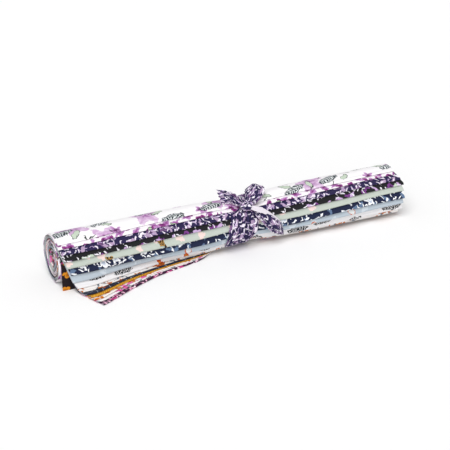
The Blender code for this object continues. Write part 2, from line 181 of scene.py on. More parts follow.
def outline_row(x, lengths):
    """The outline at x for every length of cloth in lengths."""
    row = np.array([on_circle(radius_at(x), s) for s in lengths])
    share = held((FAN_START_X - x) / (FAN_START_X - SLIP_X))
    if share > 0.0:
        leave_s, path = hanging_path(x)
        place = np.clip((lengths - leave_s) / PATH_STEP, 0.0, len(path) - INSIDE)
        whole = place.astype(int)
        loose = path[whole] + (place - whole)[:, None] * (path[whole + 1] - path[whole])
        row = np.where((lengths > leave_s)[:, None], row + share * (loose - row), row)
    return row


MAP_X = np.arange(-LENGTH / 2, LENGTH / 2 + MAP_STEP, MAP_STEP)
MAP_S = np.arange(MAP_FROM, MAP_TO, PATH_STEP)
OUTLINE = np.array([outline_row(x, MAP_S) for x in MAP_X])
ALONG = np.gradient(OUTLINE, axis=1)
ALONG /= np.maximum(np.linalg.norm(ALONG, axis=2, keepdims=True), 1e-6)
OUTWARD = np.stack((ALONG[..., 1], -ALONG[..., 0]), axis=-1)


def between(grid, at):
    """Where at lies on an even grid: the entry below it, and the share of the way to the next."""
    place = np.clip((at - grid[0]) / (grid[1] - grid[0]), 0.0, len(grid) - INSIDE)
    low = place.astype(int)
    return low, place - low


def read_map(table, x, s):
    """A table over the outline, read between its entries."""
    (i, part_i), (j, part_j) = between(MAP_X, x), between(MAP_S, s)
    part_i, part_j = part_i[..., None], part_j[..., None]
    near = table[i, j] + part_j * (table[i, j + 1] - table[i, j])
    far = table[i + 1, j] + part_j * (table[i + 1, j + 1] - table[i + 1, j])
    return near + part_i * (far - near)


print("outline mapped at", OUTLINE.shape[:2], "places")

# %% [markdown]
# On the loose front the fifteen folded quarters lie one on another, and each ends in a soft
# rounded fold that stands out a little. A quarter's depth is found by adding up what lies under
# it, so the quarters ride over the folds below them and never cut through each other.

# %% The quarters down the front
CLOTH = 0.20              # quilting cotton, pressed
FOLD_THICK = 3.2          # a rounded fold, across
ROUND_BACK = 2.7          # a fold rounds off over this many times half its thickness
TIE_PRESS, TIE_PRESS_SPREAD = 0.75, 28.0                 # the tie presses the folds flat
FULL_STEP, THINNEST = 6.6, 0.05          # closer folds are flatter, down to this share
FOLD_END = 0.8            # beyond its fold, a quarter's thickness fades out over this
PUFF = 7.0                # how far back from the fold the cloth stands open
SET_BACK = 1.8            # the cloth between the folds lies this far inside the outline
FRONT_PITCH_AT = (8.0, 30.0, 75.0)
FRONT_PITCH = (0.583, 0.47, 0.41)        # one folded quarter, slack above and pressed below
OPEN_START = 20.0         # the top quarter begins to rise this far before its fold
LIES_FROM, LIES_OVER, LIES_SPREAD = 84.0, 16.0, 90.0     # where the fan settles on the table
TABLE_GAP = 0.6 * CLOTH
GAP_AT = (40.0, 52.0, 60.0, 68.0, 73.0)                  # the innermost quarter, behind the flap
GAP_SHARE = (1.0, 0.62, 0.5, 0.5, 0.45)
GAP_X = (-150.0, -172.0)
CORE_AT = (0.0, 190.0, 210.0, 220.0, 300.0, 330.0, 360.0)   # the wound stack's outer side, by
CORE_DEPTH = (0.0, 0.0, 3.0, 3.7, 7.9, 9.5, 8.95)           # degrees back from the top


def quarters_at(x, s):
    """Thickness of each quarter, and how deep under the outline its middle lies."""
    folds = np.array([fold_at(n, x) for n in range(1, QUARTERS + 1)])
    pitch = np.interp(s, FRONT_PITCH_AT, FRONT_PITCH)
    steps = np.diff(folds, axis=0, prepend=folds[:1] - FULL_STEP)
    full = pitch + (FOLD_THICK - pitch) * np.clip(steps / FULL_STEP, THINNEST, 1.0)
    full = full - (full - pitch) * TIE_PRESS * np.exp(-((x - TIE_X) / TIE_PRESS_SPREAD) ** 2)
    before = folds - s
    swell = held(1.0 - (np.maximum(before, 0.0) / PUFF) ** 2) ** 2
    there = held(1.0 + before / FOLD_END)
    thick = (pitch + (full - pitch) * swell) * there
    ended = np.zeros_like(s)
    for n in range(QUARTERS - 1):
        start = folds[0] - OPEN_START if n == 0 else folds[n - 1]
        share = held((s - start) / np.maximum(folds[n] - start, 0.5))
        ended += share * (0.5 if n == 0 else 1.0)
    ended += held((s - folds[-1]) / OPEN_START)
    set_back = held((s - folds[0] + OPEN_START) / OPEN_START) ** 2 * SET_BACK
    base = pitch * (QUARTERS - ended) + set_back
    under = np.cumsum(thick[::-1], axis=0)[::-1] - thick
    return thick, base - under - thick / 2, under


def smooth(share):
    """A share that starts and ends gently."""
    share = held(share)
    return share * share * (3.0 - 2.0 * share)


def behind_flap(point, x, s, rise):
    """At the left end the innermost quarter hangs free between the roll and the flap."""
    turned = 360.0 - np.degrees(s / RADIUS)
    radius = radius_at(x) - np.interp(turned, CORE_AT, CORE_DEPTH)
    angle = math.pi / 2 - s / RADIUS
    core = np.stack((-radius * np.cos(angle), radius * np.sin(angle)), axis=-1)
    share = np.interp(s, GAP_AT, GAP_SHARE)[..., None]
    free = core + share * (point - core)
    down = held((s - GAP_AT[-1]) / (FOLDS[-1][0] - GAP_AT[-1]))[..., None]
    foot = np.stack((free[..., 0], np.full_like(s, CLOTH - FLAT_Z) + rise), axis=-1)
    free = free + down * (foot - free)
    apart = smooth((GAP_X[0] - x) / (GAP_X[0] - GAP_X[1]))[..., None]
    return point + apart * (free - point)


def front_point(n, x, s, rise):
    """Where quarter n's cloth lies, rise millimetres out from its own middle."""
    thick, depth, under = quarters_at(x, s)
    point = read_map(OUTLINE, x, s) + (rise - depth[n - 1])[..., None] * read_map(OUTWARD, x, s)
    table = -FLAT_Z + TABLE_GAP + under[n - 1] + thick[n - 1] / 2 + rise
    lying = smooth((s - LIES_FROM) / LIES_OVER) * smooth((SLIP_X - x) / LIES_SPREAD)
    point[..., 1] = np.maximum(point[..., 1] + lying * (table - point[..., 1]), table)
    if n == QUARTERS:
        point = behind_flap(point, x, s, rise)
    return point


print("folds at the middle:", [round(float(fold_at(n, 0.0)), 1) for n in range(1, QUARTERS + 1)])

# %% [markdown]
# Behind the front, the stack is wound up inside itself. Each quarter has only 279 mm of folded
# length, so we wind all fifteen inwards together, degree by degree, until each one's cloth has run
# out. A plain spiral formula would be shorter, but it wouldn't close the middle of the roll as real
# cloth does, because the outer quarters use up their length on wider turns.

# %% The quarters wound inside the roll
FOLDED = 279.5            # half of the 22 inch side
TURN_STEP = 3             # degrees
TURNED = np.arange(0, 1560 + TURN_STEP, TURN_STEP)
WOUND_PITCH_AT = (0.0, 60.0, 300.0, 400.0, 700.0)
WOUND_PITCH = (0.583, 0.68, 0.69, 0.86, 0.92)
LOOSE_PITCH = (0.583, 0.692, 0.705, 0.91, 0.99)           # at the left end, which has spread
LOOSE_X = (-60.0, -228.0)
TURN_GAP = 0.15
PRESSED_BY = 90.0         # degrees back from the top at which the tie's pressure is full
FRONT_SHARE = 0.93        # the front takes a little less cloth than its outline is long
RUN_OUT = 14.0            # a quarter thins out over its last millimetres
CORE_RADIUS, AXIS_RADIUS = 0.7, 0.5      # the tightest turn, and the closest to the centre line
OUTER_DEPTH, UNDER_GAP = 12.0, 0.12      # turns this near the outside rest flat on the table


def pitch_at(x, turned):
    """The thickness of one folded quarter in the roll, pressed thinner by the tie."""
    loose = held((LOOSE_X[0] - x) / (LOOSE_X[0] - LOOSE_X[1]))
    firm = np.interp(turned, WOUND_PITCH_AT, WOUND_PITCH)
    pitch = firm + loose * (np.interp(turned, WOUND_PITCH_AT, LOOSE_PITCH) - firm)
    pressed = (radius_at(x) / RADIUS) ** 2 - 1.0
    return pitch * (1.0 + pressed * np.minimum(1.0, turned / PRESSED_BY))


def wind_up():
    """The depth of each quarter's middle, for every place along the roll and degree wound."""
    full_turn = 360 // TURN_STEP
    radius = radius_at(MAP_X)
    depth = np.zeros((len(TURNED), QUARTERS, len(MAP_X)))
    spent = np.array([fold_at(n, MAP_X) for n in range(1, QUARTERS + 1)]) * FRONT_SHARE
    outside = np.zeros((len(TURNED), len(MAP_X)))
    whole = np.zeros_like(outside)
    for i, turned in enumerate(TURNED):
        left = held((FOLDED - spent) / RUN_OUT)
        thick = left * pitch_at(MAP_X, turned)
        if i < full_turn:
            outside[i] = np.interp(turned, CORE_AT, CORE_DEPTH)
        else:
            outside[i] = outside[i - full_turn] + whole[i - full_turn] + TURN_GAP
        whole[i] = thick.sum(axis=0)
        depth[i] = outside[i] + np.cumsum(thick, axis=0) - thick / 2
        spent += np.maximum(radius - depth[i], CORE_RADIUS) * math.radians(TURN_STEP)
    return depth


def wound_point(x, turned, rise, depth):
    """A point of the wound stack: turned degrees back over the top, at a depth in the roll."""
    radius = np.maximum(radius_at(x) - depth + rise, AXIS_RADIUS)
    angle = np.radians(90.0 + turned)
    y, z = -radius * np.cos(angle), radius * np.sin(angle)
    lowest = -(FLAT_Z - UNDER_GAP) + (depth - rise)
    return np.stack((y, np.where(depth < OUTER_DEPTH, np.maximum(z, lowest), z)), axis=-1)


WOUND = wind_up()
TWO_TURNS = 2 * 360 // TURN_STEP
for name, place in (("left end", 0), ("middle", len(MAP_X) // 2), ("right end", -1)):
    print(name, "of the roll, depth of the last quarter after two turns:",
          round(float(WOUND[TWO_TURNS, -1, place]), 1), "mm")

# %% [markdown]
# Each quarter is one sheet, folded over at its middle. A grid gives its flat cloth, with its own
# lengths kept as a UV map, and every crossing of the grid is then carried to its place on the
# folded and wound path. Draping it by simulation would take minutes for thirty layers that touch,
# and would lose the folds' places. The cloth gets its thickness at the end, and its cut edges show
# at the roll's ends as fine spiral lines.

# %% One folded quarter
COLUMNS = 44
EDGE_COLUMN, NEXT_COLUMN = 0.7, 12.0     # columns beside a cut edge keep its corner crisp
ROWS_AT = (0.0, 0.25, 0.5, 0.8, 1.2, 1.8, 2.6, 3.5, 4.6, 5.8, 7.2, 8.8)
FRONT_ROW, DEEP_ROW, DEEP_FROM = 2.3, 3.6, 125.0
NEAR_FOLD, FINE_FROM, FINE_PATH = 1.4, 1.6, 9.0     # two fine stretches of path behind the fold
PATH_POINTS = (29, 38, 90)               # points in each, and from there to the top of the roll
PLY_APART = 0.02                         # each ply keeps this far from the quarter's own middle
TIP_POINT = 4                            # the point that gives how thick the fold's tip is
RIGHT_IN, RIGHT_OVER = 6.5, 24.0         # the wound stack's right end stands in
LAST_IN = 2.0                            # so does the innermost quarter's left edge
UNEVEN, UNEVEN_SHIFT = 0.9, 2.4          # the quarters weren't stacked quite edge to edge
SWAY, SWAY_OVER, SWAY_SHIFT, SWAY_BY = 0.6, 37.0, 1.9, 90.0   # nor rolled up quite straight
JOIN_BY = 60.0                           # degrees over which the front passes into the winding


def row_lengths():
    """Lengths of cloth from the fold at which the grid has rows."""
    rows = list(ROWS_AT)
    while rows[-1] < FOLDED - DEEP_ROW:
        rows.append(rows[-1] + (FRONT_ROW if rows[-1] < DEEP_FROM else DEEP_ROW))
    return np.array(rows[:-1] + [FOLDED])


def front_stretch(n, columns, share, side):
    """One ply of quarter n down the front; each row is one column of its cloth."""
    uneven = UNEVEN * math.sin(UNEVEN_SHIFT * n)
    last = n == QUARTERS
    fold_in = FOLDS[n - 1][-1]
    fold = fold_at(n, columns)
    for again in range(8):
        corner = -LENGTH / 2 + LAST_IN if last else left_edge(fold)
        ends = LENGTH / 2 - fold_in
        fold = fold_at(n, corner + uneven + share[:, 0] * (ends - corner - uneven))
    near = np.concatenate((np.linspace(0.0, NEAR_FOLD, PATH_POINTS[0]),
                           np.linspace(FINE_FROM, FINE_PATH, PATH_POINTS[1])))
    near = near[None, :] * np.ones_like(share)
    deeper = np.linspace(0.0, 1.0, PATH_POINTS[2])[None, 1:] * (fold[:, None] - FINE_PATH)
    back_from = np.concatenate((near, FINE_PATH + deeper), axis=1)
    s = fold[:, None] - back_from
    left = np.full_like(s, -LENGTH / 2 + LAST_IN) if last else left_edge(s)
    inset = fold_in + (RIGHT_IN + uneven - fold_in) * smooth((fold[:, None] - s) / RIGHT_OVER)
    x = left + uneven + share * (LENGTH / 2 - inset - uneven - left)
    thick = quarters_at(x, s)[0][n - 1]
    half = np.maximum((thick - CLOTH) / 2, PLY_APART)
    tip = ROUND_BACK * half[:, TIP_POINT:TIP_POINT + 1]
    inside_tip = held(back_from / np.maximum(tip, 0.01))
    half = half * np.sqrt(np.maximum(1.0 - (1.0 - inside_tip) ** 2, 0.0))
    return np.concatenate((x[..., None], front_point(n, x, s, side * half)), axis=2)


def wound_stretch(n, x, share, side):
    """The same ply wound into the roll, from the places x at which it passes over the top."""
    turned = TURNED[None, :] * np.ones_like(x)
    along = x * np.ones_like(turned)
    low, part = between(MAP_X, x[:, 0])
    part = part[:, None]
    depth = (1.0 - part) * WOUND[:, n - 1, low].T + part * WOUND[:, n - 1, low + 1].T
    top = quarters_at(x, np.zeros_like(x))[1][n - 1]
    depth = depth + (top - depth[:, :1]) * smooth(1.0 - TURNED / JOIN_BY)[None, :]
    core = wound_point(along, turned, side * pitch_at(along, turned) / 4, depth)
    sway = SWAY * np.sin(TURNED / SWAY_OVER + SWAY_SHIFT * n)[None, :]
    sway = sway * (1.0 - 2.0 * (share > 0.5)) * held(TURNED / SWAY_BY)
    return np.concatenate(((along + sway)[..., None], core), axis=2)


def ply_path(n, columns, side):
    """Points along one ply of quarter n, from its fold inwards, one row for each column."""
    share = ((columns + LENGTH / 2) / LENGTH)[:, None]
    front = front_stretch(n, columns, share, side)
    return np.concatenate((front, wound_stretch(n, front[:, -1:, 0], share, side)), axis=1)


def grid_sheet(bm, points, flat):
    """A grid of cloth: its points in the roll's millimetres and its flat lengths."""
    rows, columns = points.shape[:2]
    made = bmesh.ops.create_grid(bm, x_segments=columns - 1, y_segments=rows - 1, size=1.0)["verts"]
    uv = bm.loops.layers.uv.get("cloth") or bm.loops.layers.uv.new("cloth")
    for vert in made:
        j = round((vert.co.x + 1.0) / 2.0 * (columns - 1))
        i = round((vert.co.y + 1.0) / 2.0 * (rows - 1))
        x, y, z = points[i, j]
        for loop in vert.link_loops:
            loop[uv].uv = Vector(flat[i, j]) * MM
        vert.co = Vector((x, y + AXIS_Y, z + FLAT_Z)) * MM


def fold_quarter(n):
    """A quarter as a grid of cloth, folded at its middle and carried to its place."""
    between_edges = np.linspace(NEXT_COLUMN, LENGTH - NEXT_COLUMN, COLUMNS - 3)
    across = np.concatenate(((0.0, EDGE_COLUMN), between_edges, (LENGTH - EDGE_COLUMN, LENGTH)))
    rows = row_lengths()
    both = np.concatenate((-rows[::-1], rows[1:]))
    placed = np.zeros((len(both), len(across), 3))
    fold_row = len(rows) - 1
    for side, ply in ((1, placed[fold_row::-1]), (-1, placed[fold_row:])):
        path = ply_path(n, across - LENGTH / 2, side)
        steps = np.linalg.norm(np.diff(path, axis=1), axis=2)
        length = np.concatenate((np.zeros((len(across), 1)), np.cumsum(steps, axis=1)), axis=1)
        for j, axis in np.ndindex(len(across), 3):
            ply[:, j, axis] = np.interp(rows, length[j], path[j, :, axis])
    bm = bmesh.new()
    grid_sheet(bm, placed, np.stack(np.meshgrid(across, both + FOLDED), axis=-1))
    bmesh.ops.reverse_faces(bm, faces=bm.faces)
    mesh = bpy.data.meshes.new(f"cloth_{n:02d}")
    bm.to_mesh(mesh)
    bm.free()
    return mesh


print("rows of cloth in a quarter:", 2 * len(row_lengths()) - 1)

# %% [markdown]
# Quilting cotton is a plain weave of fine threads, printed on one side, with almost no gloss. Its
# colours are written here as they look on a screen, so one function turns them to the linear light
# that a shader works in. A second one adds a shader node with its settings and links. Others use
# it for a sum and for a colour over a colour, which keeps the prints below short enough to read.

# %% Colours and shader nodes
SUM, SUM_OF_PLACES = "ShaderNodeMath", "ShaderNodeVectorMath"


def linear(colour):
    """An sRGB hex colour in linear light."""
    parts = [int(colour[i:i + 2], 16) / 255 for i in (1, 3, 5)]
    return (*((c / 12.92 if c <= 0.04045 else ((c + 0.055) / 1.055) ** 2.4) for c in parts), 1.0)


def node(tree, kind, inputs=None, **settings):
    """A shader node with its settings, its values and its links."""
    made = tree.nodes.new(kind)
    for name, value in settings.items():
        setattr(made, name, value)
    for name, value in (inputs or {}).items():
        if isinstance(value, bpy.types.NodeSocket):
            tree.links.new(value, made.inputs[name])
        else:
            made.inputs[name].default_value = value
    return made


def maths(tree, operation, *values, kind=SUM, **settings):
    """The outcome of a sum in a shader."""
    inputs = dict(enumerate(values))
    return node(tree, kind, inputs, operation=operation, **settings).outputs[0]


def scaled(tree, place, size):
    """A place of the cloth, scaled."""
    return node(tree, SUM_OF_PLACES, {0: place, "Scale": size}, operation="SCALE").outputs[0]


def mix(tree, share, under, over):
    """A colour laid over another by a share of its strength."""
    return node(tree, "ShaderNodeMix", {0: share, 6: under, 7: over}, data_type="RGBA").outputs[2]


print("the lilac blossom in linear light:", [round(c, 3) for c in linear("#DCC2DE")])

# %% [markdown]
# The prints are florals: petals, buds, leaves and short pen strokes, strewn over a plain ground.
# They could be painted as an image, but a shader can strew them too. A Voronoi texture gives each
# spot of cloth its nearest seed. Measured from that seed, turned at random, the distance in a
# stretched circle is a leaf, and a circle whose edge dips a few times is a flower. All the motifs
# are of our own making and fall at random, so no print of a maker's is drawn again.

# %% One scattered motif
MOTIF_INPUTS = ("Pitch", "Long", "Wide", "Petals", "Notch", "Turn", "Share", "Shift")
MOTIF_PLAIN = (20, 5, 5, 0, 0, 1, 1, 0)  # what a print's row leaves out
EDGE_CRISP = 9.0
HATCH_SLOPE = 0.8         # pen hatching runs aslant, mirrored at the motif's middle


def scattered_motif():
    """A node group: how far inside a strewn motif each place of the cloth is."""
    group = bpy.data.node_groups.new("scattered motif", "ShaderNodeTree")
    group.interface.new_socket("Cloth", in_out="INPUT", socket_type="NodeSocketVector")
    for name in MOTIF_INPUTS:
        group.interface.new_socket(name, in_out="INPUT", socket_type="NodeSocketFloat")
    for name in ("Inside", "Out", "Hatch"):
        group.interface.new_socket(name, in_out="OUTPUT", socket_type="NodeSocketFloat")
    given = node(group, "NodeGroupInput").outputs
    density = maths(group, "DIVIDE", 1.0, given["Pitch"])
    cells = scaled(group, given["Cloth"], density)
    cells = maths(group, "ADD", cells, given["Shift"], kind=SUM_OF_PLACES)
    seeds = node(group, "ShaderNodeTexVoronoi", {"Vector": cells, "Scale": 1.0, "Randomness": 0.85},
                 voronoi_dimensions="2D").outputs
    chance = node(group, "ShaderNodeSeparateColor", {0: seeds["Color"]}).outputs
    local = maths(group, "SUBTRACT", cells, seeds["Position"], kind=SUM_OF_PLACES)
    local = scaled(group, local, given["Pitch"])
    angle = maths(group, "MULTIPLY", chance[0], given["Turn"])
    angle = maths(group, "MULTIPLY", angle, 2 * math.pi)
    local = node(group, "ShaderNodeVectorRotate", {"Vector": local, "Angle": angle},
                 rotation_type="Z_AXIS").outputs[0]
    place = node(group, "ShaderNodeSeparateXYZ", {0: local}).outputs
    along = maths(group, "DIVIDE", place[0], given["Long"])
    across = maths(group, "DIVIDE", place[1], given["Wide"])
    shape = node(group, "ShaderNodeCombineXYZ", {0: along, 1: across}).outputs[0]
    length = node(group, SUM_OF_PLACES, {0: shape}, operation="LENGTH").outputs["Value"]
    bearing = maths(group, "ARCTAN2", across, along)
    wave = maths(group, "COSINE", maths(group, "MULTIPLY", bearing, given["Petals"]))
    half = maths(group, "MULTIPLY", given["Notch"], 0.5)
    reach = maths(group, "MULTIPLY_ADD", wave, half, maths(group, "SUBTRACT", 1.0, half))
    out = maths(group, "DIVIDE", length, reach)
    inside = maths(group, "SUBTRACT", 1.0, out)
    inside = maths(group, "MULTIPLY", inside, EDGE_CRISP, use_clamp=True)
    chosen = maths(group, "LESS_THAN", chance[1], given["Share"])
    inside = maths(group, "MULTIPLY", inside, chosen)
    hatch = maths(group, "MULTIPLY_ADD", maths(group, "ABSOLUTE", place[1]),
                  HATCH_SLOPE, place[0])
    node(group, "NodeGroupOutput", {"Inside": inside, "Out": out, "Hatch": hatch})
    return group


MOTIF = scattered_motif()
print("nodes in the motif:", len(MOTIF.nodes))

# %% [markdown]
# A print is its ground colour with one kind of motif laid over another, as screens are printed one
# after another. A motif may have a darker heart, an inked edge, or pen hatching. The pattern reads
# the cloth's own flat lengths, so it turns with every fold. Fine noise lets the outlines waver as
# drawn ones do. The threads of quilting cotton are a third of a millimetre apart, too fine to show
# in the picture, so the weave is drawn three times as coarse, as a very low relief.

# %% Printed quilting cotton
THREAD = 1.0              # millimetres; drawn coarse, for a real spacing of about 0.35
WEAVE_SHARE = 0.03        # of the relief; the rest is slow unevenness
WAVER = 5.0               # millimetres by which an outline may stray
HEART_TO, INKED_FROM = (0.2, 0.62), 0.72     # shares of the way out from a motif's middle
COTTON = {"Roughness": 0.88, "Specular IOR Level": 0.22, "Sheen Weight": 0.06,
          "Sheen Roughness": 0.5}


def matt_material(name, colour, finish):
    """A material of one colour with its finish, and its shader's inputs."""
    material = bpy.data.materials.new(name)
    material.use_nodes = True
    shader = material.node_tree.nodes["Principled BSDF"].inputs
    for key, value in {"Base Color": linear(colour), **finish}.items():
        shader[key].default_value = value
    return material, shader


def lay_motif(tree, cloth, under, row):
    """One kind of motif, printed over the colour under it; bold hatching has wider lines."""
    values = {name: float(row.get(name.lower(), fallback))
              for name, fallback in zip(MOTIF_INPUTS, MOTIF_PLAIN)}
    spot = node(tree, "ShaderNodeGroup", {"Cloth": cloth, **values}, node_tree=MOTIF).outputs
    ink = linear(row["body"])
    if "heart" in row:
        bloom = node(tree, "ShaderNodeMapRange", {0: spot["Out"], 1: HEART_TO[0],
                     2: HEART_TO[1]}).outputs[0]
        ink = mix(tree, bloom, linear(row["heart"]), ink)
    if "hatch" in row:
        lines = maths(tree, "MULTIPLY", spot["Hatch"], 2 * math.pi / row["spacing"])
        lines = maths(tree, "SINE", lines)
        lines = maths(tree, "GREATER_THAN", lines, -row.get("bold", 0.0))
        ink = mix(tree, lines, ink, linear(row["hatch"]))
    if "edge" in row:
        rim = maths(tree, "GREATER_THAN", spot["Out"], row.get("inner", INKED_FROM))
        ink = mix(tree, rim, ink, linear(row["edge"]))
    return mix(tree, spot["Inside"], under, ink)


def woven_cotton(name, ground, rows=()):
    """A plain woven cotton with its ground colour and rows of printed motifs."""
    material, shader = matt_material(name, ground, COTTON)
    tree = material.node_tree
    flat = scaled(tree, node(tree, "ShaderNodeUVMap", uv_map="cloth").outputs[0], 1 / MM)
    noise = node(tree, "ShaderNodeTexNoise", {"Vector": flat, "Scale": 0.2, "Detail": 1.0},
                 noise_dimensions="2D").outputs
    waver = maths(tree, "MULTIPLY_ADD", noise["Color"], (WAVER, WAVER, 0.0),
                  (-WAVER / 2, -WAVER / 2, 0.0), kind=SUM_OF_PLACES)
    drawn = maths(tree, "ADD", flat, waver, kind=SUM_OF_PLACES)
    colour = linear(ground)
    for row in rows:
        colour = lay_motif(tree, drawn, colour, row)
    if rows:
        tree.links.new(colour, shader["Base Color"])
    place = node(tree, "ShaderNodeSeparateXYZ", {0: flat}).outputs
    threads = [maths(tree, "SINE", maths(tree, "MULTIPLY", place[axis], 2 * math.pi / THREAD))
               for axis in (0, 1)]
    weave = maths(tree, "MULTIPLY", *threads)
    relief = maths(tree, "MULTIPLY_ADD", weave, WEAVE_SHARE, noise[0])
    bump = node(tree, "ShaderNodeBump", {"Height": relief, "Strength": 0.6, "Distance": MM})
    tree.links.new(bump.outputs[0], shader["Normal"])
    return material


# %% [markdown]
# Now the fifteen prints, from the outermost in. Each row is a kind of motif: how far apart its
# seeds are, how long and wide it is from its middle, in millimetres, then its colours. The big
# lilac blossoms need a pitch near 70 mm, while the pen strokes of the navy prints lie only 6 mm
# apart. The mustard print's stripes are the hatching of one motif that is larger than the cloth.
# The colours are matched to the real bundle, light or dark, cool or warm.

# %% The fifteen prints
PEN = dict(pitch=6.5, long=3.4, wide=0.9, body="#F6F3F8")
FIVE, FOUR = dict(petals=5, notch=0.4), dict(petals=4, notch=0.4)
PRINTS = (
    ("large_lilac", "#F6F4F6", (
        dict(FIVE, pitch=66, long=24, wide=20, share=0.8, shift=0.35, body="#DCC2DE",
             heart="#A066A4", hatch="#CDA9CF", spacing=9, edge="#B98CBD", inner=0.93),
        dict(pitch=46, long=10, wide=8, petals=5, notch=0.45, share=0.7, shift=7.1, body="#BF90C2",
             heart="#5A1E57"),
        dict(pitch=33, long=10, wide=4, share=0.62, shift=3.3, body="#C3D1BF", edge="#2F3A34",
             inner=0.8),
        dict(pitch=50, long=17, wide=6.5, turn=0.09, share=0.9, shift=5.2, body="#E4E9EA",
             hatch="#2B343C", spacing=3.6, bold=0.25, edge="#3A454E", inner=0.86),
        dict(pitch=21, long=6.5, wide=0.7, share=0.45, shift=1.9, body="#2F3A34"))),
    ("berry", "#F3EEF2", (
        dict(FOUR, pitch=20, long=9, wide=5, share=0.9, shift=2.4, body="#B987BE",
             heart="#8E3E86"),
        dict(pitch=11, long=5, wide=3, share=0.6, shift=4.9, body="#8E3E86", heart="#5A1E57"),
        dict(pitch=19, long=6, wide=2.2, share=0.4, shift=8.3, body="#B9CBB2", edge="#4A5A48"))),
    ("navy_violet", "#292249", (
        dict(pitch=22, long=10, wide=5.5, petals=5, notch=0.35, share=0.7, shift=1.2, body="#785882",
             heart="#4A2A58"),
        dict(pitch=14, long=7, wide=2.6, share=0.65, shift=6.6, body="#B097B6", edge="#2F2456",
             inner=0.85),
        dict(PEN, shift=3.7, share=0.7, body="#E9E0EE"),
        dict(PEN, pitch=5.2, long=2.6, wide=0.7, shift=8.2, share=0.35, body="#B9A2CB"),
        dict(pitch=12, long=4.6, wide=2.2, petals=3, notch=0.4, share=0.35, shift=9.4,
             body="#EFE8F3"))),
    ("black_floral", "#1D1D20", (
        dict(FIVE, pitch=24, long=9, wide=5.5, share=0.7, shift=4.4, body="#7A3F88",
             heart="#3A1746"),
        dict(pitch=21, long=6.5, wide=2.4, share=0.5, shift=2.8, body="#C3A6CF", edge="#6F5282",
             inner=0.85),
        dict(pitch=27, long=9, wide=2.6, share=0.5, shift=7.7, body="#BFCDBB"),
        dict(PEN, pitch=8, shift=5.5, share=0.55, body="#E9E6EE"))),
    ("sage", "#BBC3BA", (
        dict(pitch=24, long=7, wide=5, petals=3, notch=0.4, share=0.7, shift=3.1, body="#E9D2CC"),
        dict(pitch=60, long=7, wide=5, petals=4, notch=0.3, share=0.8, shift=5.6, body="#B58B4C",
             hatch="#241F1C", spacing=4))),
    ("navy_white", "#1D2440", (
        dict(FIVE, pitch=19, long=8, wide=5.5, share=0.7, shift=2.2, body="#F2F4F8",
             heart="#AEB9CC"),
        dict(pitch=17, long=7, wide=2.4, share=0.6, shift=5.9, body="#5E7391"),
        dict(PEN, pitch=7, shift=8.8, share=0.7, body="#F2F4F8"))),
    ("grey_blue", "#B2BDC7", (
        dict(pitch=26, long=8, wide=5, petals=4, notch=0.35, share=0.6, shift=1.6, body="#C6CFD7"),
        dict(pitch=48, long=7, wide=4, share=0.6, shift=6.3, body="#D9DCDD", edge="#C2623A"))),
    ("feather", "#E6E4E6", (
        dict(pitch=34, long=15, wide=4.4, turn=0.06, shift=4.1, body="#E4E2E4",
             hatch="#1D2226", spacing=3.0, bold=0.5, edge="#1D2226", inner=0.84),
        dict(pitch=38, long=5, wide=3, share=0.6, shift=8.2, body="#B5431D", heart="#D98A1C"))),
    ("rust", "#F0EDEB", (
        dict(pitch=16, long=8, wide=4.5, petals=5, notch=0.45, shift=2.7, body="#C9701F",
             heart="#A83C1A"),
        dict(pitch=15, long=8, wide=1.0, share=0.6, shift=6.9, body="#6F7580"))),
    ("dark_navy", "#23283C", (
        dict(pitch=20, long=10, wide=5, share=0.7, shift=3.5, body="#23283C", edge="#A9B2BE",
             inner=0.84),
        dict(FOUR, pitch=19, long=6, wide=3.6, share=0.6, shift=9.1, body="#C4571F",
             heart="#7E3413"))),
    ("mustard", "#E0A32B", (
        dict(pitch=400, long=900, wide=900, shift=0.5, turn=0, body="#E0A32B", hatch="#B87E12",
             spacing=3.2),)),
    ("orange_white", "#F4EDE6", (
        dict(FOUR, pitch=12, long=6, wide=4, share=0.85, shift=5.3, body="#D8801F",
             heart="#B5521A"),
        dict(pitch=20, long=8, wide=3, share=0.7, shift=1.1, body="#E56AB0"))),
    ("pink_white", "#F3EEF0", (
        dict(pitch=14, long=7, wide=2.8, share=0.6, shift=7.3, body="#9BA0A6", edge="#5B6067"),
        dict(FIVE, pitch=12, long=6, wide=4, share=0.75, shift=2.5, body="#E56AB0",
             heart="#B93A80"))),
    ("plum", "#3B1035", (
        dict(FIVE, pitch=17, long=7.5, wide=4.5, share=0.75, shift=4.6,
             body="#C63C86", heart="#7E1C58"),
        dict(pitch=8, long=4.4, wide=1.3, share=0.75, shift=8.5, body="#EBB6CF"),
        dict(pitch=15, long=5, wide=2.4, share=0.4, shift=1.3, body="#F4DCE6"))),
    ("dark_gold", "#1E1418", (
        dict(pitch=17, long=8, wide=5, petals=4, notch=0.35, share=0.7, shift=3.9, body="#D98A1C",
             heart="#A85F12"),
        dict(FIVE, pitch=24, long=9, wide=6, share=0.5, shift=6.1, body="#A33A6B"))),
)

cottons = {name: woven_cotton("printed_quilting_cotton_" + name, ground, rows)
           for name, ground, rows in PRINTS}
wrong_side = woven_cotton("unprinted_side_of_quilting_cotton", "#DCD5DE")
print("prints:", len(cottons))

# %% [markdown]
# The mesh is given the thickness of the cloth and its print, and is hung from the bundle's root,
# while the solid it stands for is hidden.
# The first quarter also stands for the wound roll, whose turns are these same quarters. The print
# is on the right side and round the cut edges, and the wrong side of the cloth is paler.

# %% Place the quarters
SHARP_DEG = 50.0


